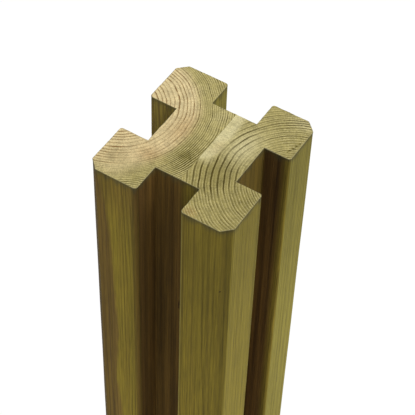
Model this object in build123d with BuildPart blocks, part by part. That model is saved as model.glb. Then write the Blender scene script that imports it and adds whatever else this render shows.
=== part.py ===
"""Four-way grooved fence post: two softwood planks glued face to face, then
planed, bevelled and grooved on all four sides. The origin is at the centre of
the sawn foot, +Z runs up the post and the glue line lies in a YZ plane."""

from build123d import *
from math import isclose
import os

# Driving dimensions, in millimetres.
post_length = 1900.0
section_width = 90.0  # along X, through the thickness of both planks
section_depth = 94.0  # along Y, across the width of one plank
corner_bevel = 5.7  # leg of the 45 degree bevel on each outer corner
bevel_radius = 1.0  # softening where a bevel meets a face
mouth_radius = 1.8  # eased edge along each groove mouth

# The grooves, as the moulder's four cutters left them. A shift is how far a
# groove's middle stands from the post's centre line.
front_groove_width = 27.8  # in the -Y face
front_groove_depth = 18.8
front_groove_shift = 0.9  # along +X
back_groove_width = 28.9  # in the +Y face
back_groove_depth = 17.7
back_groove_shift = 1.5  # along +X
left_groove_width = 28.3  # in the -X face
left_groove_depth = 17.7
left_groove_shift = 0.4  # along +Y
right_groove_width = 29.1  # in the +X face
right_groove_depth = 16.4
right_groove_shift = 1.6  # along +Y

glue_line_shift = 2.8  # along +X, for the joint between the planks

# The outer faces are measured from the centre lines.
half_width = section_width / 2
half_depth = section_depth / 2
bevel_reach = corner_bevel + bevel_radius


def on_groove_mouth(corner):
    """True where a groove wall meets an outer face, clear of the bevels."""
    x = abs(corner.X)
    y = abs(corner.Y)
    on_side_face = isclose(x, half_width) and y < half_depth - bevel_reach
    on_end_face = isclose(y, half_depth) and x < half_width - bevel_reach
    return on_side_face or on_end_face


# The whole section as it leaves the moulder, with a groove in each face.
with BuildSketch() as section:
    Rectangle(section_width, section_depth)
    chamfer(section.vertices(), corner_bevel)
    fillet(section.vertices(), bevel_radius)
    with Locations((front_groove_shift, -half_depth)):
        Rectangle(front_groove_width, 2 * front_groove_depth, mode=Mode.SUBTRACT)
    with Locations((back_groove_shift, half_depth)):
        Rectangle(back_groove_width, 2 * back_groove_depth, mode=Mode.SUBTRACT)
    with Locations((-half_width, left_groove_shift)):
        Rectangle(2 * left_groove_depth, left_groove_width, mode=Mode.SUBTRACT)
    with Locations((half_width, right_groove_shift)):
        Rectangle(2 * right_groove_depth, right_groove_width, mode=Mode.SUBTRACT)
    fillet(section.vertices().filter_by(on_groove_mouth), mouth_radius)

# The left plank is all of the section on the -X side of the glue line.
with BuildPart() as left_lamination:
    with BuildSketch():
        add(section.sketch)
        with Locations((glue_line_shift, 0)):
            Rectangle(section_width, section_depth, align=(Align.MAX, Align.CENTER), mode=Mode.INTERSECT)
    extrude(amount=post_length)
left_lamination.part.label = "left_lamination"

# The right plank is the rest, and meets the left one face to face.
with BuildPart() as right_lamination:
    with BuildSketch():
        add(section.sketch)
        with Locations((glue_line_shift, 0)):
            Rectangle(section_width, section_depth, align=(Align.MIN, Align.CENTER), mode=Mode.INTERSECT)
    extrude(amount=post_length)
right_lamination.part.label = "right_lamination"

os.makedirs("parts", exist_ok=True)
for plank in (left_lamination, right_lamination):
    export_step(plank.part, f"parts/{plank.part.label}.step")
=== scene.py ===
"""Looks of the four-way grooved fence post: two glued planks of pressure-treated softwood.

Growth rings run from the sawn ends down the planed faces. Lengths are millimetres until a mesh, a
lamp, a material or the camera is made, in metres.
"""

import math
from collections import namedtuple

import bpy
import numpy as np
from mathutils import Matrix, Vector
from mathutils.geometry import delaunay_2d_cdt


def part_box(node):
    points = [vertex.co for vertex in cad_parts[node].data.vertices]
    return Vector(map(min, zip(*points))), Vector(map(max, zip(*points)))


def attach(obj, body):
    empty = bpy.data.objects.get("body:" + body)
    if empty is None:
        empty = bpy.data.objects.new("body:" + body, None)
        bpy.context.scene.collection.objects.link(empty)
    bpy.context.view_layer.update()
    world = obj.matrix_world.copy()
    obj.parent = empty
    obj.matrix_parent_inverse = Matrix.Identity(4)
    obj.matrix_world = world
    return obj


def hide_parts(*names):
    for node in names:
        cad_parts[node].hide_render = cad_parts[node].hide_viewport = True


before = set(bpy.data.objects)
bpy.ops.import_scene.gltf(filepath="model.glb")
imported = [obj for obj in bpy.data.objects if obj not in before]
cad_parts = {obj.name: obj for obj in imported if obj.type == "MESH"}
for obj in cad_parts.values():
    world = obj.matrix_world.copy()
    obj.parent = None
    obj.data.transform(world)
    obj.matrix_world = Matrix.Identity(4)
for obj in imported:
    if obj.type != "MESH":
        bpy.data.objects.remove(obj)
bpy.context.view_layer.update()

MM = 0.001

# The section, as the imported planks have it

LEFT_HIGH = np.array(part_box("left_lamination")[1]) / MM
RIGHT_HIGH = np.array(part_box("right_lamination")[1]) / MM
LENGTH = LEFT_HIGH[2]
HALF_X = RIGHT_HIGH[0]
HALF_Y = LEFT_HIGH[1]
GLUE_X = LEFT_HIGH[0]

# shift is how far a groove's middle stands off the centre line, towards +X or +Y. Its walls and
# floor are as brown as their stains say from the depth stain_depth on, and less above it.
Groove = namedtuple("Groove", "width depth shift wall_stain floor_stain stain_depth")
GROOVES = {
    "front": Groove(27.8, 18.8, 0.9, 0.88, 0.84, 3.4),
    "back": Groove(28.9, 17.7, 1.5, 0.0, 0.0, 3.4),
    "left": Groove(28.3, 17.7, 0.4, 0.0, 0.0, 3.4),
    "right": Groove(29.1, 16.4, 1.6, 0.95, 0.55, 7.0),
}
BEVEL = 5.7
BEVEL_RADIUS = 1.0
MOUTH_RADIUS = 1.8
NEAR = 0.3  # what counts as on a face

# How finely the meshes follow it

COLUMN_STEP = 1.0
TOP_GRID = 0.42
FOOT_GRID = 1.1
GRID_JITTER = 0.18  # of the grid
ARC_STEPS = {MOUTH_RADIUS: 5, BEVEL_RADIUS: 2}
EASE_ROWS = 3
ROW_STEPS = (1.2, 3.0, 6.0, 10.0)  # rows of the side faces, close together below the sawn ends
SEEN_DEPTH = 300.0  # the photograph shows less than this of the length
SEEN_ROW = 8.0
FAR_ROW = 25.0
KNOT_ROWS = 8  # rows above and below each knot
KNOT_ROW_STEP = 0.4  # of its radius
ROW_GAP = 0.8
SHARP_EDGE = math.radians(35)


def smooth(low, high, value):
    """0 on low's side, 1 on high's side, and a smooth step between."""
    t = np.clip((value - low) / (high - low), 0, 1)
    return t * t * (3 - 2 * t)


def spot(x, y, at, reach):
    """1 at a place on the section, fading out over its reach."""
    return np.exp(-((x - at[0]) / reach[0]) ** 2 - ((y - at[1]) / reach[1]) ** 2)


def spots(x, y, places):
    """The sum of a few spots, each given as its place, its reach and its share."""
    return sum(share * spot(x, y, at, reach) for at, reach, share in places)


def waves(seed, *axes):
    """A wandering value of about -1 to 1, from sines along mixes of the (place, wavelength) pairs."""
    rng = np.random.default_rng(seed)
    total = 0.0
    for weight in (0.5, 0.3, 0.2, 0.15):
        phase = rng.uniform(0, 2 * math.pi)
        for place, wavelength in axes:
            phase = phase + place / wavelength * 2 * math.pi * rng.uniform(0.5, 1.6) * rng.choice((-1, 1))
        total = total + weight * np.sin(phase)
    return total


# Camera

SENSOR = 36.0
LENS = 127.24
CAMERA_TARGET = (25.32, -36.60, LENGTH)
CAMERA_DISTANCE = 768.1
CAMERA_AZIMUTH = math.radians(30.51)
CAMERA_ELEVATION = math.radians(49.88)
CAMERA_ROLL = math.radians(2.21)


def add_camera():
    """The photograph's view: down on one corner of the sawn top."""
    level = math.cos(CAMERA_ELEVATION)
    back = Vector((
        math.sin(CAMERA_AZIMUTH) * level,
        -math.cos(CAMERA_AZIMUTH) * level,
        math.sin(CAMERA_ELEVATION),
    ))
    right = Vector((math.cos(CAMERA_AZIMUTH), math.sin(CAMERA_AZIMUTH), 0))
    up = back.cross(right)
    turned_right = math.cos(CAMERA_ROLL) * right + math.sin(CAMERA_ROLL) * up
    turned_up = math.cos(CAMERA_ROLL) * up - math.sin(CAMERA_ROLL) * right
    data = bpy.data.cameras.new("camera")
    data.lens = LENS
    data.sensor_width = SENSOR
    data.sensor_fit = "HORIZONTAL"
    camera = bpy.data.objects.new("camera", data)
    bpy.context.scene.collection.objects.link(camera)
    turn = Matrix((turned_right, turned_up, back)).transposed().to_4x4()
    place = (Vector(CAMERA_TARGET) + CAMERA_DISTANCE * back) * MM
    camera.matrix_world = Matrix.Translation(place) @ turn
    bpy.context.scene.camera = camera


# Nodes

MIX_FACTOR, MIX_FIRST_NUMBER, MIX_SECOND_NUMBER = 0, 2, 3
MIX_FIRST_COLOUR, MIX_SECOND_COLOUR, MIX_COLOUR_OUT = 6, 7, 2


def linear(red, green, blue):
    """A colour as seen on screen, 0 to 255, as the renderer's own numbers."""
    def one(value):
        value = value / 255
        return value / 12.92 if value <= 0.04045 else ((value + 0.055) / 1.055) ** 2.4
    return (one(red), one(green), one(blue), 1.0)


class Graph:
    """A node tree with short calls for the nodes used here. Numbers go in by themselves, sockets by links."""

    def __init__(self, tree):
        self.tree = tree
        tree.nodes.clear()

    def put(self, socket, value):
        if isinstance(value, bpy.types.NodeSocket):
            self.tree.links.new(value, socket)
        else:
            socket.default_value = value

    def node(self, kind, **settings):
        made = self.tree.nodes.new(kind)
        for name, value in settings.items():
            setattr(made, name, value)
        return made

    def math(self, operation, first, second=0.0, clamp=False):
        made = self.node("ShaderNodeMath", operation=operation, use_clamp=clamp)
        self.put(made.inputs[0], first)
        self.put(made.inputs[1], second)
        return made.outputs[0]

    def product(self, first, *others):
        for other in others:
            first = self.math("MULTIPLY", first, other)
        return first

    def total(self, first, *others):
        for other in others:
            first = self.math("ADD", first, other)
        return first

    def mix(self, factor, first, second, blend="MIX"):
        made = self.node("ShaderNodeMix", data_type="RGBA", blend_type=blend)
        self.put(made.inputs[MIX_FACTOR], factor)
        self.put(made.inputs[MIX_FIRST_COLOUR], first)
        self.put(made.inputs[MIX_SECOND_COLOUR], second)
        return made.outputs[MIX_COLOUR_OUT]

    def mix_numbers(self, factor, first, second):
        made = self.node("ShaderNodeMix", data_type="FLOAT")
        self.put(made.inputs[MIX_FACTOR], factor)
        self.put(made.inputs[MIX_FIRST_NUMBER], first)
        self.put(made.inputs[MIX_SECOND_NUMBER], second)
        return made.outputs[0]

    def step(self, value, low, high, to_low=0.0, to_high=1.0):
        """A smooth step from to_low, where value is low, to to_high, where it is high."""
        made = self.node("ShaderNodeMapRange", interpolation_type="SMOOTHSTEP")
        for socket, number in zip(made.inputs, (value, low, high, to_low, to_high)):
            self.put(socket, number)
        return made.outputs[0]

    def value(self, name):
        return self.node("ShaderNodeAttribute", attribute_name=name).outputs["Fac"]

    def noise(self, vector, size, detail=2.0, rough=0.5):
        """Noise of 0 to 1 whose features are (x, y, z) metres large."""
        scaled = self.node("ShaderNodeVectorMath", operation="DIVIDE")
        self.put(scaled.inputs[0], vector)
        scaled.inputs[1].default_value = size
        made = self.node("ShaderNodeTexNoise")
        self.put(made.inputs["Vector"], scaled.outputs[0])
        made.inputs["Scale"].default_value = 1.0
        made.inputs["Detail"].default_value = detail
        made.inputs["Roughness"].default_value = rough
        return made.outputs[0]

    def seen_directly(self):
        """1 for what the camera sees, itself or in gloss or glass, and 0 for what lights the object."""
        ray = self.node("ShaderNodeLightPath")
        seen = self.math("MAXIMUM", ray.outputs["Is Camera Ray"], ray.outputs["Is Glossy Ray"])
        return self.math("MAXIMUM", seen, ray.outputs["Is Transmission Ray"])

    def finish(self, kind, shader):
        self.put(self.node(kind).inputs["Surface"], shader)


def new_material(name):
    made = bpy.data.materials.new(name)
    made.use_nodes = True
    return made, Graph(made.node_tree)


# Timber

END = {
    "heart": linear(234, 214, 162),
    "heart_late": linear(142, 110, 64),
    "sap": linear(183, 170, 107),
    "sap_late": linear(84, 73, 28),
    "pale": linear(228, 217, 164),
    "light": linear(212, 199, 142),
    "stain": linear(108, 98, 36),
    "warm": linear(184, 144, 88),
    # painted highlight along the eased saw edges
    "painted_rim_highlight": linear(214, 206, 160),
}
SIDE = {
    "sap": linear(138, 121, 43),
    "sap_late": linear(88, 74, 24),
    "heart": linear(119, 96, 44),
    "heart_late": linear(88, 68, 38),
    "groove": linear(109, 79, 37),
    "groove_late": linear(73, 48, 20),
    # lighter greener look; in the left groove it is painted light
    "fresh": linear(148, 137, 64),
    # painted highlight on the front groove's right mouth
    "edge": linear(176, 162, 84),
    "band_below_cut": linear(88, 82, 50),
    "knot": linear(116, 84, 42),
    "knot_rim": linear(58, 40, 20),
}
FLECK = (0.0406, -0.0457, 1.8476)  # a fleck of resin on the right front bevel
FLECK_RADIUS = 0.0009

# Sizes of the wood's irregularities, along X, Y and the length, in metres
RAGGED = (0.0009, 0.0009, 0.03)
PATCHY = (0.005, 0.005, 0.08)
GRIT = (0.0006, 0.0006, 0.0006)
CLOUD = (0.005, 0.005, 0.05)
FIBRE = (0.0006, 0.0006, 0.02)
HAIR = (0.0008, 0.0008, 0.5)
STREAK = (0.003, 0.003, 0.2)
PATCH = (0.03, 0.03, 0.12)
RAY = (3.0, 0.8, 1.0)  # in rings, and in sweep round their centre

# Where in a ring its dark late wood starts and is full, and where it stops
FINE_LATE = (0.5, 0.85)
BOLD_LATE = (0.6, 0.8)
LATE_ENDS = (0.93, 0.995)
BOLD_WEAKEST = 0.8  # the strength of the weakest bold ring

# The two values that each noise is taken between, and the tones it gives there
GRIT_TONE = (0.3, 0.7, -0.24, 0.24)
CLOUD_TONE = (0.3, 0.7, 0.86, 1.12)
RAY_TONE = (0.3, 0.7, -0.1, 0.1)
FIBRE_TONE = (0.25, 0.75, -0.24, 0.24)
PATCH_TONE = (0.3, 0.7, 0.92, 1.08)
HAIR_TONE = (0.45, 0.6, 0.07, -0.17)

ROUGHNESS = (0.76, 0.92)
SPECULAR = 0.12
BUMP_STRENGTH = 0.6
BUMP_DISTANCE = 0.0004

# What the meshes say of each place: the wood itself, then what was done to it, and painted shade and
# highlights
WOOD = (
    "ring", "sweep", "fine", "bold", "heart", "pale", "stain", "warm", "knot",
    "planed", "groove", "fresh", "edge", "band_below_cut", "tone", "painted_rim_highlight",
)


def late_wood(g, count, starts, weakest):
    """The dark late wood of each ring, each as strong as chance has it, from weakest to 1."""
    own = g.node("ShaderNodeTexWhiteNoise", noise_dimensions="1D")
    g.put(own.inputs["W"], g.math("FLOOR", count))
    within = g.math("FRACT", count)
    line = g.product(g.step(within, *starts), g.step(within, *LATE_ENDS, 1.0, 0.0))
    return g.product(line, g.step(own.outputs["Value"], 0.1, 0.9, weakest, 1.0))


def ring_lines(g, place, wood):
    """The dark line at each ring's outer edge, and the light one that follows it."""
    ragged = g.noise(place, RAGGED, 2.0, 0.6)
    number = g.total(wood["ring"], g.product(g.math("SUBTRACT", ragged, 0.5), 0.3))
    patchy = g.step(g.noise(place, PATCHY, 3.0, 0.6), 0.36, 0.6, 0.6, 1.15)
    weakest = g.step(wood["heart"], 0.0, 1.0, 0.2, 0.5)
    fine = g.product(late_wood(g, number, FINE_LATE, weakest), wood["fine"], patchy)
    # A bold line stands at every second ring.
    bold = g.product(late_wood(g, g.product(number, 0.5), BOLD_LATE, BOLD_WEAKEST), wood["bold"])
    line = g.math("MAXIMUM", fine, bold, clamp=True)
    within = g.math("FRACT", number)
    light = g.product(g.step(within, 0.0, 0.12), g.step(within, 0.2, 0.5, 0.85, 0.0), wood["fine"])
    light = g.math("MULTIPLY", light, g.math("SUBTRACT", patchy, wood["heart"]), clamp=True)
    return line, light


def end_colour(g, place, wood, line, light, grit):
    """The sawn ends: early wood in its zones and stains, with the ring lines and fine rays over it."""
    spun = g.node("ShaderNodeCombineXYZ")
    g.put(spun.inputs[0], wood["ring"])
    g.put(spun.inputs[1], wood["sweep"])
    rays = g.noise(spun.outputs[0], RAY, 3.0, 0.7)
    cloud = g.noise(place, CLOUD, 4.0, 0.65)
    colour = g.mix(wood["heart"], END["sap"], END["heart"])
    for kind in ("pale", "warm", "stain"):
        colour = g.mix(wood[kind], colour, END[kind])
    colour = g.mix(light, colour, END["light"])
    colour = g.mix(line, colour, g.mix(wood["heart"], END["sap_late"], END["heart_late"]))
    tone = g.total(g.step(grit, *GRIT_TONE), g.step(cloud, *CLOUD_TONE), g.step(rays, *RAY_TONE))
    colour = g.mix(1.0, colour, tone, "MULTIPLY")
    # Painted highlight along the eased saw edges.
    return g.mix(g.product(wood["painted_rim_highlight"], 0.75), colour, END["painted_rim_highlight"])


def side_colour(g, place, wood, line, fibre):
    """The planed faces and grooves: long fibres, the treatment's patchy olive, and the knots."""
    hair = g.noise(place, HAIR, 1.0, 0.5)
    streak = g.noise(place, STREAK, 3.0, 0.6)
    patch = g.noise(place, PATCH, 3.0, 0.55)
    colour = g.mix(wood["heart"], SIDE["sap"], SIDE["heart"])
    colour = g.mix(g.step(streak, 0.42, 0.7, 0.0, 0.25), colour, SIDE["heart"])
    # The fresh look, painted light in the left groove.
    colour = g.mix(wood["fresh"], colour, SIDE["fresh"])
    late = g.mix(wood["heart"], SIDE["sap_late"], SIDE["heart_late"])
    colour = g.mix(g.product(line, 0.65), colour, late)
    # Painted highlight on the front groove's right mouth.
    colour = g.mix(wood["edge"], colour, SIDE["edge"])
    inside = g.mix(g.step(streak, 0.35, 0.65), SIDE["groove"], SIDE["groove_late"])
    colour = g.mix(wood["groove"], colour, inside)

    # A knot is brown, and dark where its share passes a half.
    knot = wood["knot"]
    knot_rim = g.math("MULTIPLY", g.product(knot, g.math("SUBTRACT", 1.0, knot)), 3.6, clamp=True)
    colour = g.mix(g.product(knot, 0.8), colour, SIDE["knot"])
    colour = g.mix(knot_rim, colour, SIDE["knot_rim"])
    fleck = g.node("ShaderNodeVectorMath", operation="DISTANCE")
    g.put(fleck.inputs[0], place)
    fleck.inputs[1].default_value = FLECK
    in_fleck = g.step(fleck.outputs["Value"], FLECK_RADIUS, FLECK_RADIUS / 3, 0.0, 0.9)
    colour = g.mix(in_fleck, colour, SIDE["knot_rim"])

    colour = g.mix(wood["band_below_cut"], colour, SIDE["band_below_cut"])
    tone = g.total(g.step(fibre, *FIBRE_TONE), g.step(patch, *PATCH_TONE), g.step(hair, *HAIR_TONE))
    # The tone attribute also carries painted shade and painted light on groove walls.
    return g.mix(1.0, colour, g.product(tone, wood["tone"]), "MULTIPLY")


def timber(name):
    """Treated softwood. The mesh says where its rings, heartwood, stains and grooves are."""
    material, g = new_material(name)
    place = g.node("ShaderNodeTexCoord").outputs["Object"]
    wood = {kind: g.value(kind) for kind in WOOD}
    line, light = ring_lines(g, place, wood)
    grit = g.noise(place, GRIT, 3.0, 0.8)
    fibre = g.noise(place, FIBRE, 3.0, 0.7)
    end = end_colour(g, place, wood, line, light, grit)
    side = side_colour(g, place, wood, line, fibre)
    shader = g.node("ShaderNodeBsdfPrincipled")
    g.put(shader.inputs["Base Color"], g.mix(wood["planed"], end, side))
    g.put(shader.inputs["Roughness"], g.step(fibre, 0.2, 0.8, *ROUGHNESS))
    shader.inputs["Specular IOR Level"].default_value = SPECULAR

    # Relief: hard late wood stands proud, fibres run along the faces and the saw left the ends rough.
    end_height = g.total(g.product(grit, 1.2), g.product(line, 0.3))
    side_height = g.total(g.product(fibre, 0.5), g.product(line, 0.5))
    bump = g.node("ShaderNodeBump")
    bump.inputs["Strength"].default_value = BUMP_STRENGTH
    bump.inputs["Distance"].default_value = BUMP_DISTANCE
    g.put(bump.inputs["Height"], g.mix_numbers(wood["planed"], end_height, side_height))
    g.put(shader.inputs["Normal"], bump.outputs[0])
    g.finish("ShaderNodeOutputMaterial", shader.outputs[0])
    return material


# Growth rings and stains, at a place in the timber

# Branches, out from the rings' centre: direction in degrees, depth of the middle below the top, radius
KNOTS = {
    "left": ((-52, 655, 6.5), (31, 668, 4.5), (48, 1310, 7.0), (-8, 1322, 5.0)),
    "right": (
        (-148, 127, 3.6),
        (148, 560, 6.0),
        (-172, 574, 5.0),
        (-139, 1190, 7.5),
        (160, 1204, 4.5),
    ),
}
KNOT_RISE = 0.25  # a branch climbs this share of its length
KNOT_EDGE = (1.25, 0.65)  # of its radius, from outside to inside
KNOT_BEND = 2.2  # radii that the grain takes to pass round it
BEHIND_CENTRE = 9.0  # radii away, so that a branch has no other side

CHECK = ((40.4, 20.6), (43.3, 29.4))  # a short drying crack in the right plank's end
CHECK_WIDTH = 0.45
CHECK_DEPTH = 6.0

RING_REACH = 160.0
RING_STEP = 0.1


def knots(side, x, y, depth, centre_x, centre_y):
    """How far inside a branch each place is, 0 to 1, and how much the grain bends round it."""
    inside, bend = 0 * x, 0 * x
    for direction, middle, radius in KNOTS[side]:
        cos, sin = math.cos(math.radians(direction)), math.sin(math.radians(direction))
        along = (x - centre_x) * cos + (y - centre_y) * sin
        across = (y - centre_y) * cos - (x - centre_x) * sin
        away = np.hypot(across, depth - middle + KNOT_RISE * along) / radius
        away = np.where(along > 0, away, BEHIND_CENTRE)
        inside = np.maximum(inside, smooth(*KNOT_EDGE, away))
        bend = bend + np.exp(-(away / KNOT_BEND) ** 2) * radius / 2
    return inside, bend


def check(x, y, depth):
    """1 in the drying crack, 0 away from it."""
    start, end = np.array(CHECK)
    span = end - start
    t = np.clip(((x - start[0]) * span[0] + (y - start[1]) * span[1]) / (span @ span), 0, 1)
    away = np.hypot(x - start[0] - t * span[0], y - start[1] - t * span[1])
    return smooth(CHECK_WIDTH * 1.6, CHECK_WIDTH * 0.4, away) * (depth < CHECK_DEPTH)


class Left:
    """The left plank: tan heartwood inside a band of fine-ringed green sapwood."""

    # Ring widths at a few radii
    widths = ((0, 2.3), (24, 2.4), (34, 2.3), (41, 1.9), (45, 1.2), (55, 1.15), (60, 1.3), (75, 1.5))
    heart_radius = 44.0
    sapwood_from = (43, 46)  # radii

    # The place and reach where the heartwood goes further out, and fades slowly
    blurred = ((-28, -42), (14, 14))

    # Spots on the sawn end: place, reach and share
    fine_spots = (
        ((-41, -23), (6, 9), 0.5),
        ((-27, -32), (9, 12), -0.65),
        ((-23, -6), (9, 15), -0.55),
    )
    sapwood_stains = (((-3, -14), (8, 12), 1.1), ((-9, 8), (4, 8), 0.25))
    stains = (((-36, -33), (8, 6), 0.3), ((-18, -38), (8, 8), 0.3))
    pale_spots = (((-2, 24), (5, 8), 0.25),)
    warm_spots = (((-20, -22), (8, 6), 0.4), ((-16, 5), (6, 12), 0.4))

    # The brown heartwood's edge on the front face: depth below the top, and place along X
    brown_edge = (
        (0, -38),
        (26, -33.5),
        (50, -31),
        (100, -29.5),
        (140, -27.3),
        (170, -29),
        (190, -30.5),
        (230, -26.5),
        (300, -31.5),
    )

    def centre(self, depth):
        """Where the rings' centre is: it wanders along the length, and bends near the top."""
        bend = 1 - np.exp(-depth / 70.0)
        x = -55.0 + 5.0 * bend + 3.0 * waves(3, (depth, 900.0))
        y = 0.7 - 1.0 * bend + 3.0 * waves(4, (depth, 1100.0))
        return x, y

    def heartwood(self, x, y, r, depth):
        blurred = spot(x, y, *self.blurred)
        edge = self.heart_radius + 6.0 * blurred + 0.8 * waves(5, (x, 25.0), (y, 25.0), (depth, 200.0))
        return 1 - smooth(-1, 1, (r - edge) / (4.2 + 8.0 * blurred))

    def front_brown(self, x, depth):
        """How brown the front face is: heartwood up to its edge, and a darker stretch near the top."""
        wander = 3.0 * waves(6, (depth, 420.0)) * smooth(200, 400, depth)
        edge = np.interp(depth, *zip(*self.brown_edge)) + wander
        brown = smooth(1.3, -1.3, x - edge + 0.5 * waves(8, (depth, 30.0)))
        return np.maximum(brown, 0.55 * smooth(50, 5, depth))

    def marks(self, x, y, r, depth):
        sapwood = smooth(*self.sapwood_from, r)
        near_front = smooth(9 - HALF_Y, 6 - HALF_Y, y) * (depth > 0.2)
        heart = self.heartwood(x, y, r, depth)
        return {
            "heart": heart + (self.front_brown(x, depth) - heart) * near_front,
            "fine": 0.95 + 0.15 * sapwood + spots(x, y, self.fine_spots),
            "bold": 0 * x,
            "stain": sapwood * spots(x, y, self.sapwood_stains) + spots(x, y, self.stains),
            "pale": spots(x, y, self.pale_spots),
            "warm": spots(x, y, self.warm_spots) + 0.1 * smooth(20, -10, y) * (1 - sapwood),
        }


class Right:
    """The right plank: fine rings, bold ones at the lower middle, and a pale zone at the glue line."""

    # Ring widths at a few radii
    widths = ((0, 1.3), (22, 1.4), (34, 1.6), (52, 1.65), (56, 1.5), (80, 1.4))

    # Spots on the sawn end: place, reach and share
    bold_spots = (
        ((16, -15), (12, 12), 2.2),
        ((16, 17), (7, 14), 0.9),
        ((29, 37), (14, 9), 0.5),
    )
    fine_spots = (((36, 34), (14, 14), 0.45), ((37, 43.5), (8, 4), 1.3))
    without_fine = (((15, -12), (14, 13), 0.85), ((16, 16), (9, 10), 0.75))
    pale_spots = (((19, 9), (9, 14), 0.9), ((39, 43), (7, 3.5), 0.9))
    stains = (((18, -11), (11, 15), 0.5), ((39, -21), (7, 8), 0.3))
    warm_spots = (((19, -44), (4, 3), 0.5), ((7, 3), (3, 6), 0.2))

    def centre(self, depth):
        """Where the rings' centre is: it wanders along the length, and bends near the top."""
        bend = 1 - np.exp(-depth / 200.0)
        x = 57.6 - 1.5 * bend + 2.5 * waves(13, (depth, 900.0))
        y = 3.6 + 1.5 * bend + 2.5 * waves(14, (depth, 1100.0))
        return x, y

    def marks(self, x, y, r, depth):
        near_glue = smooth(12, 7, x) * smooth(-14, -7, y)
        unlined = 1 - 0.9 * near_glue
        mottled = 0.88 + 0.3 * waves(17, (x, 9.0), (y, 14.0))
        outer = 0.15 * smooth(20, 40, x) + 0.15 * smooth(-10, -30, y)
        fine = (0.7 + spots(x, y, self.fine_spots)) * (1 - spots(x, y, self.without_fine))
        return {
            "heart": 0 * x,
            "fine": fine * unlined,
            "bold": np.clip(0.1 + spots(x, y, self.bold_spots), 0, 1) * unlined,
            "stain": spots(x, y, self.stains) + outer + 0.8 * check(x, y, depth),
            "pale": mottled * near_glue + spots(x, y, self.pale_spots),
            "warm": spots(x, y, self.warm_spots),
        }


def ring_table(widths):
    """Ring numbers at steps of radius, from the ring widths at a few radii."""
    radius = np.arange(0, RING_REACH, RING_STEP)
    at, width = zip(*widths)
    number = np.cumsum(RING_STEP / np.interp(radius, at, width))
    return radius, number


def grain(plank, side, x, y, z):
    """What the timber is like at places in it: its ring number, and the share of each mark."""
    depth = LENGTH - z
    centre_x, centre_y = plank.centre(depth)
    r = np.hypot(x - centre_x, y - centre_y)
    r = r + 0.5 * waves(21, (x, 60.0), (y, 60.0), (depth, 500.0))
    r = r + 0.2 * waves(22, (x, 18.0), (y, 18.0), (depth, 160.0))
    radius, number = ring_table(plank.widths)
    found = plank.marks(x, y, r, depth)
    found["knot"], bend = knots(side, x, y, depth, centre_x, centre_y)
    found["ring"] = np.interp(r + bend, radius, number) + 0.12 * np.sin(r * 0.5)
    found["sweep"] = 50.0 * np.arctan2(y - centre_y, np.abs(x - centre_x))
    return found


# The section's outline, how the treatment coloured it, and painted shade and light on its sides

# Shares by which parts of the sides are darker: the bevels, and two groove walls with painted shade
BEVEL_SHADE = 0.38
FRONT_WALL_PAINTED_SHADE = 0.36
RIGHT_WALL_PAINTED_SHADE = 0.2

# Shares by which others are brighter: part of the left plank's front face, and the left groove's walls with
# painted light
FRONT_FACE_LIGHT = 0.13
LEFT_WALL_PAINTED_LIGHT = 0.62

SPILLED_BROWN = 0.75
# On the left groove this lighter colour is painted light.
DULLED_FRESH_AND_PAINTED_LIGHT = 0.45  # the right face's front half and the left groove


def corners(side):
    """The plank's section, counter-clockwise, as corners (x, y, rounding)."""
    s = -1 if side == "left" else 1
    front, back, own = GROOVES["front"], GROOVES["back"], GROOVES[side]
    front_wall, front_floor = front.shift + s * front.width / 2, front.depth - HALF_Y
    back_wall, back_floor = back.shift + s * back.width / 2, HALF_Y - back.depth
    low, high = own.shift - own.width / 2, own.shift + own.width / 2
    own_floor = s * (HALF_X - own.depth)
    ring = [
        (GLUE_X, front_floor, 0),
        (front_wall, front_floor, 0),
        (front_wall, -HALF_Y, MOUTH_RADIUS),
        (s * (HALF_X - BEVEL), -HALF_Y, BEVEL_RADIUS),
        (s * HALF_X, BEVEL - HALF_Y, BEVEL_RADIUS),
        (s * HALF_X, low, MOUTH_RADIUS),
        (own_floor, low, 0),
        (own_floor, high, 0),
        (s * HALF_X, high, MOUTH_RADIUS),
        (s * HALF_X, HALF_Y - BEVEL, BEVEL_RADIUS),
        (s * (HALF_X - BEVEL), HALF_Y, BEVEL_RADIUS),
        (back_wall, HALF_Y, MOUTH_RADIUS),
        (back_wall, back_floor, 0),
        (GLUE_X, back_floor, 0),
    ]
    return ring if s > 0 else ring[::-1]


def direction(start, end):
    step = np.subtract(end[:2], start[:2])
    return step / np.hypot(*step)


def corner_points(before, corner, after):
    """The corner itself where it is sharp, and otherwise the points of the arc that rounds it."""
    at, radius = np.array(corner[:2], float), corner[2]
    if radius == 0:
        return [at]
    arriving, leaving = direction(before, corner), direction(corner, after)
    turn = math.acos(np.clip(arriving @ leaving, -1, 1))
    reach = radius * math.tan(turn / 2)
    outward = np.array((arriving[1], -arriving[0]))
    centre = at - arriving * reach - outward * radius
    steps = ARC_STEPS[radius]
    arc = []
    for k in range(steps + 1):
        cos, sin = math.cos(turn * k / steps), math.sin(turn * k / steps)
        spoke = np.array((outward[0] * cos - outward[1] * sin, outward[0] * sin + outward[1] * cos))
        arc.append(centre + spoke * radius)
    return arc


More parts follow.
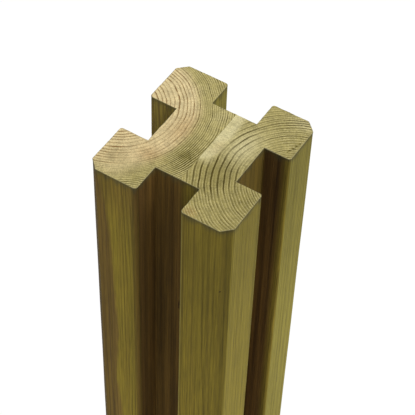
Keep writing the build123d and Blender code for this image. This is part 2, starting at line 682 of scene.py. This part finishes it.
def outline(side):
    """Points round the section, the way to move each for an even inset, and which lie on the glue."""
    ring = corners(side)
    arcs = [corner_points(ring[i - 1], ring[i], ring[(i + 1) % len(ring)]) for i in range(len(ring))]
    points = []
    for arc, following in zip(arcs, arcs[1:] + arcs[:1]):
        points += arc
        span = following[0] - arc[-1]
        count = max(1, math.ceil(np.hypot(*span) / COLUMN_STEP))
        points += [arc[-1] + span * k / count for k in range(1, count)]
    points = np.array(points)
    on_glue = np.abs(points[:, 0] - GLUE_X) < 1e-6
    ahead = np.roll(points, -1, 0) - points
    ahead /= np.hypot(*ahead.T)[:, None]
    normal = np.stack([ahead[:, 1], -ahead[:, 0]], 1)
    before = np.roll(normal, 1, 0)
    mitre = (normal + before) / (1 + (normal * before).sum(1))[:, None]
    return points, mitre, on_glue


def in_groove(name, points):
    """How far each point is from the groove's middle, how deep, and whether it is on its walls or floor."""
    x, y = points.T
    along, deep = {
        "front": (x, HALF_Y + y),
        "back": (x, HALF_Y - y),
        "left": (y, HALF_X + x),
        "right": (y, HALF_X - x),
    }[name]
    groove = GROOVES[name]
    off_middle = np.abs(along - groove.shift)
    return off_middle, deep, (off_middle < groove.width / 2 + NEAR) & (deep < groove.depth + NEAR)


def groove_share(points):
    """How brown each point of the outline is from standing treatment."""
    x, y = points.T
    share = np.zeros(len(points))
    for name, groove in GROOVES.items():
        _, deep, inside = in_groove(name, points)
        floor = smooth(groove.depth - 1.2, groove.depth - 0.4, deep)
        stain = groove.wall_stain + (groove.floor_stain - groove.wall_stain) * floor
        share = np.where(inside, stain * smooth(0.2, groove.stain_depth, deep), share)
    # The front groove's brown spills out onto the left plank's face.
    spilled = SPILLED_BROWN * smooth(-17.5, -12.5, x) * (x < 0) * (y < MOUTH_RADIUS - HALF_Y)
    return np.maximum(share, spilled)


def fresh_and_painted_light_share(points):
    """How much of the lighter, greener look each point has: the right face, the back and the back groove kept
    it, and in the left groove it is painted light.
    """
    x, y = points.T
    right_face = (x > HALF_X - NEAR) * np.where(y > 0, 1.0, DULLED_FRESH_AND_PAINTED_LIGHT)
    back = (y > HALF_Y - NEAR) | in_groove("back", points)[2]
    # Painted light in the left groove.
    left_groove = np.where(in_groove("left", points)[2], DULLED_FRESH_AND_PAINTED_LIGHT, 0.0)
    return np.maximum(right_face, np.where(back, 1.0, left_groove))


def painted_mouth_highlight(points):
    """1 on the eased edge of the front groove's right mouth, where a highlight is painted."""
    x, y = points.T
    deep = HALF_Y + y
    return np.where((deep > 0.05) & (deep < MOUTH_RADIUS) & (x > 0) & (x < HALF_X / 2), 1.0, 0.0)


def side_tone_and_painted_light(points):
    """How bright the sides are: darker on the bevels, painted shade on the front groove's left wall and deep
    in the right groove, and painted light on the left groove's walls.
    """
    x, y = points.T
    bevel = smooth(0.2, 0.6, np.minimum(np.abs(x) - HALF_X + BEVEL, np.abs(y) - HALF_Y + BEVEL))
    front_wall = smooth(-17.0, -13.2, x) * (x < 0) * (1 - smooth(3, 17, HALF_Y + y))
    front_face = smooth(-33, -29, x) * smooth(-14, -18, x) * (y < NEAR - HALF_Y)
    off_middle, deep, inside = in_groove("right", points)
    groove = GROOVES["right"]
    on_wall = inside & (off_middle > groove.width / 2 - NEAR) & (deep < groove.depth - NEAR)
    right_wall = on_wall * smooth(1.0, 5.0, deep)
    _, deep, inside = in_groove("left", points)
    left_wall = inside & (deep < GROOVES["left"].depth - NEAR)
    # Painted shade on the front groove's left wall and the face beside it, and deep on the right groove's
    # walls; painted light on the left groove's walls.
    darker = BEVEL_SHADE * bevel + FRONT_WALL_PAINTED_SHADE * front_wall + RIGHT_WALL_PAINTED_SHADE * right_wall
    return 1 - darker + FRONT_FACE_LIGHT * front_face + LEFT_WALL_PAINTED_LIGHT * left_wall


# The planks' meshes

EASE = 0.45  # softened saw edge round each end
SEAM_EASE = 0.07  # the same where the planks meet
TORN_EDGES = (((38, 45), (6, 4), 1.6), ((34, 16), (6, 2), 1.2))
TOP_SHADE = {"left": 0.07, "right": 0.2}  # how much darker the sides are near the top
TOP_SHADE_DEPTH = (150, 25)
HOLLOW = 0.3  # the most that planing leaves hollow

# How deep the sawn top dips
EARLY_DIP = 0.09
SAW_DIP = 0.03
MOST_DIP = 0.2  # without the crack
CHECK_DIP = 0.4

# Where the front groove's floor turns bare going up, how strong the painted highlight on the edge of its
# right mouth is, and the darker band just below the saw cut
BARE_DEPTH = (60, 18)
MOUTH_HIGHLIGHT_SHARE = 0.55
BAND_BELOW_CUT_SHARE = 0.7
BAND_BELOW_CUT_DEPTH = (4.5, 0.8)
BAND_BELOW_CUT_WANDER = 1.5

Sides =namedtuple("Sides", "xy z planed")


def ease_round(points, on_glue, seed):
    """How far the saw's edge is softened at each point of the outline: unevenly, and hardly at the glue."""
    rng = np.random.default_rng(seed)
    along = np.arange(len(points)) * 1.0
    wander = 0.75 + 0.35 * waves(seed, (along, 14.0)) + 0.25 * rng.uniform(-1, 1, len(points))
    torn = spots(*points.T, TORN_EDGES) * rng.uniform(0, 1, len(points))
    return np.where(on_glue, SEAM_EASE, EASE * (np.clip(wander, 0.4, 1.6) + torn))


def row_heights(side):
    """Heights of the side faces' rows between the eased ends: closer near the top and at the knots."""
    top = [LENGTH - step for step in ROW_STEPS]
    foot = list(ROW_STEPS)
    seen = np.arange(LENGTH - ROW_STEPS[-1] - SEEN_ROW, LENGTH - SEEN_DEPTH, -SEEN_ROW)
    count = math.ceil((seen[-1] - foot[-1]) / FAR_ROW)
    far = np.linspace(foot[-1], seen[-1], count, endpoint=False)[1:]
    spaced = np.array(foot + list(far) + list(seen[::-1]) + top[::-1])
    at_knots = []
    for _, middle, radius in KNOTS[side]:
        reach = np.arange(-KNOT_ROWS, KNOT_ROWS + 1) * radius * KNOT_ROW_STEP
        at_knots += list(LENGTH - middle + reach)
    at_knots = np.array(at_knots)
    gap = np.abs(np.subtract.outer(at_knots, spaced)).min(1)
    return np.sort(np.concatenate([spaced, at_knots[gap > ROW_GAP]]))


def side_rows(side, points, mitre, on_glue, ease, seed):
    """The rows of the side faces from the foot up: eased in at both ends, and slightly hollow between."""
    loops, heights, planed = [], [], []

    def add(inset, z, share):
        loops.append(points - mitre * inset[:, None])
        heights.append(z)
        planed.append(share)

    turns = [math.pi / 2 / EASE_ROWS * k for k in range(1, EASE_ROWS + 1)]
    for turn in turns:
        add(ease * (1 - math.sin(turn)), ease * (1 - math.cos(turn)), math.sin(turn))
    for z in row_heights(side):
        height = z + 0 * ease
        sway = 0.1 + 0.08 * waves(seed + 7, (points[:, 0], 30.0), (points[:, 1], 30.0), (height, 140.0))
        add(np.where(on_glue, 0, np.clip(sway, 0, HOLLOW)), height, 1.0)
    for turn in turns[::-1]:
        add(ease * (1 - math.sin(turn)), LENGTH - ease * (1 - math.cos(turn)), math.sin(turn))
    return Sides(np.concatenate(loops), np.concatenate(heights), np.repeat(planed, len(points)))


def end_cap(loop, grid, seed):
    """Triangles that fill a loop, with inner points every grid millimetres. The loop's points come first."""
    rng = np.random.default_rng(seed)
    low, high = loop.min(0), loop.max(0)
    gx, gy = np.meshgrid(np.arange(low[0], high[0], grid), np.arange(low[1], high[1], grid))
    inner = np.stack([gx.ravel(), gy.ravel()], 1)
    inner = inner + rng.uniform(-GRID_JITTER, GRID_JITTER, (gx.size, 2)) * grid
    crossings = np.zeros(len(inner), int)
    nearest = np.full(len(inner), np.inf)
    for a, b in zip(loop, np.roll(loop, -1, 0)):
        span = b - a
        t = np.clip(((inner - a) @ span) / (span @ span), 0, 1)
        nearest = np.minimum(nearest, np.hypot(*(inner - a - t[:, None] * span).T))
        if a[1] != b[1]:
            between = (inner[:, 1] >= min(a[1], b[1])) & (inner[:, 1] < max(a[1], b[1]))
            reach = a[0] + (inner[:, 1] - a[1]) * span[0] / span[1]
            crossings += between & (inner[:, 0] < reach)
    inner = inner[(crossings % 2 == 1) & (nearest > 0.45 * grid)]
    places = [Vector(p) for p in np.concatenate([loop, inner])]
    made = delaunay_2d_cdt(places, [], [list(range(len(loop)))], 1, 1e-7)
    points, faces = np.array([tuple(p) for p in made[0]]), np.array(made[2])
    if len(points) != len(places):
        raise SystemExit("the sawn end's points were merged")
    return points, faces


def saw_relief(plank, side, cap, rim_count, seed):
    """How far each point of the sawn top dips, in the soft early wood and in the drying crack."""
    x, y = cap[rim_count:].T
    wood = grain(plank, side, x, y, np.full(len(x), LENGTH))
    within = wood["ring"] % 1.0
    soft = 1 - smooth(0.5, 0.85, within) * (1 - smooth(0.92, 1.0, within))
    dip = EARLY_DIP * soft * wood["fine"] + SAW_DIP * (1 + waves(seed, (x, 6.0), (y, 2.4)))
    dip = np.clip(dip, 0, MOST_DIP)
    if side == "right":
        dip = dip + CHECK_DIP * check(x, y, 0.0)
    return np.concatenate([np.zeros(rim_count), dip])


# The texture map has the unrolled sides on the left and the two ends on the right, as shares of
# the square.

MAP_MARGIN = 0.006
SIDES_WIDTH = 0.66
GLUE_SHARE = 0.07  # the hidden glue face is squeezed
TOP_CAP_SCALE = 0.0063  # of the square for each millimetre
FOOT_CAP_SCALE = 0.0031
FAR_SHARE = 0.42  # the unseen length is squeezed
RIM_STEP = 1.4  # millimetres of map for each row less than 1 high


def texture_map(points, on_glue, side_z, vertices, triangles):
    """Texture places of every face's corners, in the mesh's order: side quads, end strips, triangles."""
    count = len(points)
    row_count = len(side_z) // count
    span = np.hypot(*(np.roll(points, -1, 0) - points).T)
    span = np.where(on_glue & np.roll(on_glue, -1), GLUE_SHARE * span, span)
    u = np.concatenate([[0], np.cumsum(span)])
    u = MAP_MARGIN + u / u[-1] * (SIDES_WIDTH - 2 * MAP_MARGIN)
    z = np.concatenate([[0], side_z.reshape(row_count, count).mean(1), [LENGTH]])
    step = np.diff(z)
    step = np.where(z[1:] < LENGTH - SEEN_DEPTH, FAR_SHARE * step, step)
    v = np.concatenate([[0], np.cumsum(np.maximum(step, RIM_STEP * (step < 1)))])
    v = MAP_MARGIN + v / v[-1] * (1 - 2 * MAP_MARGIN)

    low = np.repeat(np.arange(row_count + 1), count)
    left = np.tile(np.arange(count), row_count + 1)
    around = ((left, low), (left + 1, low), (left + 1, low + 1), (left, low + 1))
    boxes = np.stack([np.stack([u[column], v[row]], 1) for column, row in around], 1)
    foot_strip, sides, top_strip = boxes[:count], boxes[count:-count], boxes[-count:]
    quads = np.concatenate([sides, top_strip, foot_strip])

    xy = vertices[:, :2] - vertices[:, :2].min(0)
    cap_left = SIDES_WIDTH + MAP_MARGIN
    top = np.array((cap_left, 1 - MAP_MARGIN - xy[:, 1].max() * TOP_CAP_SCALE)) + xy * TOP_CAP_SCALE
    foot = np.array((cap_left, MAP_MARGIN)) + xy * FOOT_CAP_SCALE
    at_top = vertices[triangles[:, 0], 2] > LENGTH / 2
    caps = np.where(at_top[:, None, None], top[triangles], foot[triangles])
    return np.concatenate([quads.reshape(-1, 2), caps.reshape(-1, 2)])


def new_mesh(name, vertices, quads, triangles, texture_places):
    mesh = bpy.data.meshes.new(name)
    mesh.vertices.add(len(vertices))
    mesh.vertices.foreach_set("co", (vertices * MM).astype(np.float32).ravel())
    mesh.loops.add(quads.size + triangles.size)
    corner_vertices = np.concatenate([quads.ravel(), triangles.ravel()])
    mesh.loops.foreach_set("vertex_index", corner_vertices.astype(np.int32))
    sizes = np.concatenate([np.full(len(quads), 4), np.full(len(triangles), 3)])
    starts = np.concatenate([[0], np.cumsum(sizes)[:-1]])
    mesh.polygons.add(len(sizes))
    mesh.polygons.foreach_set("loop_start", starts.astype(np.int32))
    layer = mesh.uv_layers.new(name="OFBake")
    layer.data.foreach_set("uv", texture_places.astype(np.float32).ravel())
    mesh.update(calc_edges=True)
    mesh.validate()
    return mesh


def side_marks(side, points, on_glue, sides, seed):
    """What was done to each point of the side rows: planing, stains and tones, with painted shade and light
    in the tones, and a painted highlight on the softened rims.
    """
    x, y = sides.xy.T
    below = LENGTH - sides.z
    row_count = len(sides.z) // len(points)

    def every_row(values):
        return np.tile(values, row_count)

    # The brown stops short of the top on the right part of the front groove's floor.
    bare = smooth(*BARE_DEPTH, below) * smooth(1, 9, x) * smooth(12 - HALF_Y, 17 - HALF_Y, y)
    bare = bare * (y < GROOVES["front"].depth - HALF_Y + 1)
    shade = TOP_SHADE[side] * smooth(*TOP_SHADE_DEPTH, below)
    wandering_depth = below + BAND_BELOW_CUT_WANDER * waves(seed, (x + y, 9.0))
    # A painted highlight on the eased rows at both ends, not at the glue.
    painted_rim_highlight = np.zeros((row_count, len(points)))
    painted_rim_highlight[:EASE_ROWS] = ~on_glue
    painted_rim_highlight[-EASE_ROWS:] = ~on_glue
    return {
        "planed": sides.planed,
        "groove": every_row(groove_share(points)) * (1 - bare),
        "fresh": every_row(fresh_and_painted_light_share(points)),
        "edge": MOUTH_HIGHLIGHT_SHARE * every_row(painted_mouth_highlight(points)),
        # tone carries the bevels' darker tone, the painted shade and light on groove walls, and the darkening
        # near the top.
        "tone": every_row(side_tone_and_painted_light(points)) * (1 - shade),
        # A darker grey-green band just below the saw cut.
        "band_below_cut": BAND_BELOW_CUT_SHARE * smooth(*BAND_BELOW_CUT_DEPTH, wandering_depth),
        "painted_rim_highlight": painted_rim_highlight.ravel(),
    }


def plank_mesh(name, side, plank, seed):
    """One plank: side rows from the foot up, a strip and a cap at each sawn end, and its wood's marks."""
    points, mitre, on_glue = outline(side)
    count = len(points)
    ease = ease_round(points, on_glue, seed)
    sides = side_rows(side, points, mitre, on_glue, ease, seed)
    side_count = len(sides.z)

    here = np.arange(count)
    following = (here + 1) % count
    first_row = np.stack([here, following, count + following, count + here], 1)
    quads = [first_row + row for row in range(0, side_count - count, count)]
    vertices, triangles, start = [np.column_stack([sides.xy, sides.z])], [], side_count
    for at_top, grid in ((True, TOP_GRID), (False, FOOT_GRID)):
        cap, faces = end_cap(points - mitre * ease[:, None], grid, seed + 1)
        if at_top:
            z = LENGTH - saw_relief(plank, side, cap, count, seed + 9)
            row = side_count - count
            strip = [row + here, row + following, start + following, start + here]
        else:
            z = np.zeros(len(cap))
            faces = faces[:, ::-1]
            strip = [start + here, start + following, following, here]
        vertices.append(np.column_stack([cap, z]))
        triangles.append(faces + start)
        quads.append(np.stack(strip, 1))
        start += len(cap)
    vertices, quads, triangles = (np.concatenate(parts) for parts in (vertices, quads, triangles))

    places = texture_map(points, on_glue, sides.z, vertices, triangles)
    mesh = new_mesh(name, vertices, quads, triangles, places)
    marks = grain(plank, side, *vertices.T)
    on_caps = np.zeros(len(vertices) - side_count)
    for kind, values in side_marks(side, points, on_glue, sides, seed + 3).items():
        marks[kind] = np.concatenate([values, on_caps])
    for kind in WOOD:
        made = mesh.attributes.new(kind, "FLOAT", "POINT")
        made.data.foreach_set("value", marks[kind].astype(np.float32))
    mesh.polygons.foreach_set("use_smooth", np.ones(len(mesh.polygons), bool))
    mesh.set_sharp_from_angle(angle=SHARP_EDGE)
    return mesh


def add_plank(side, plank, seed):
    node = f"{side}_lamination"
    piece = bpy.data.objects.new(f"{side}_plank", plank_mesh(f"{side}_plank", side, plank, seed))
    bpy.context.scene.collection.objects.link(piece)
    piece.data.materials.append(timber(f"{side}_timber"))
    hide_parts(node)
    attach(piece, "root")


# Stage

FLOOR_HALF = 12.0  # metres
FLOOR_DROP = 0.0002
FLOOR_COLOUR = (0.82, 0.82, 0.82, 1)
FLOOR_GLOW = 0.3  # lifts the lit floor to white for the camera, and leaves the shadow to be seen
WHITE = (1, 1, 1, 1)
AMBIENT = 0.376
SUN_STRENGTH = 2.0
SUN_AZIMUTH = math.radians(8.0)  # from +X towards -Y
SUN_ELEVATION = math.radians(54.0)
SUN_WIDTH = math.radians(45.0)


def add_floor():
    mesh = bpy.data.meshes.new("floor")
    h = FLOOR_HALF
    mesh.from_pydata([(-h, -h, 0), (h, -h, 0), (h, h, 0), (-h, h, 0)], [], [(0, 1, 2, 3)])
    floor = bpy.data.objects.new("floor", mesh)
    floor.location = (0, 0, -FLOOR_DROP)
    bpy.context.scene.collection.objects.link(floor)
    material, g = new_material("floor")
    diffuse = g.node("ShaderNodeBsdfDiffuse")
    diffuse.inputs["Color"].default_value = FLOOR_COLOUR
    glow = g.node("ShaderNodeEmission")
    g.put(glow.inputs["Strength"], g.product(g.seen_directly(), FLOOR_GLOW))
    both = g.node("ShaderNodeAddShader")
    g.put(both.inputs[0], diffuse.outputs[0])
    g.put(both.inputs[1], glow.outputs[0])
    g.finish("ShaderNodeOutputMaterial", both.outputs[0])
    mesh.materials.append(material)


def add_light():
    """A wide soft sun from the right, in a plain pale room that looks white."""
    world = bpy.data.worlds.new("studio")
    world.use_nodes = True
    g = Graph(world.node_tree)
    background = g.node("ShaderNodeBackground")
    background.inputs["Color"].default_value = WHITE
    g.put(background.inputs["Strength"], g.step(g.seen_directly(), 0.0, 1.0, AMBIENT, 1.0))
    g.finish("ShaderNodeOutputWorld", background.outputs[0])
    bpy.context.scene.world = world
    data = bpy.data.lights.new("sun", "SUN")
    data.energy = SUN_STRENGTH
    data.angle = SUN_WIDTH
    sun = bpy.data.objects.new("sun", data)
    bpy.context.scene.collection.objects.link(sun)
    level = math.cos(SUN_ELEVATION)
    towards = Vector((
        level * math.cos(SUN_AZIMUTH),
        -level * math.sin(SUN_AZIMUTH),
        math.sin(SUN_ELEVATION),
    ))
    sun.rotation_euler = towards.to_track_quat("Z", "Y").to_euler()
    bpy.context.scene.view_settings.view_transform = "Standard"


add_camera()
add_floor()
add_light()
add_plank("left", Left(), 31)
add_plank("right", Right(), 41)
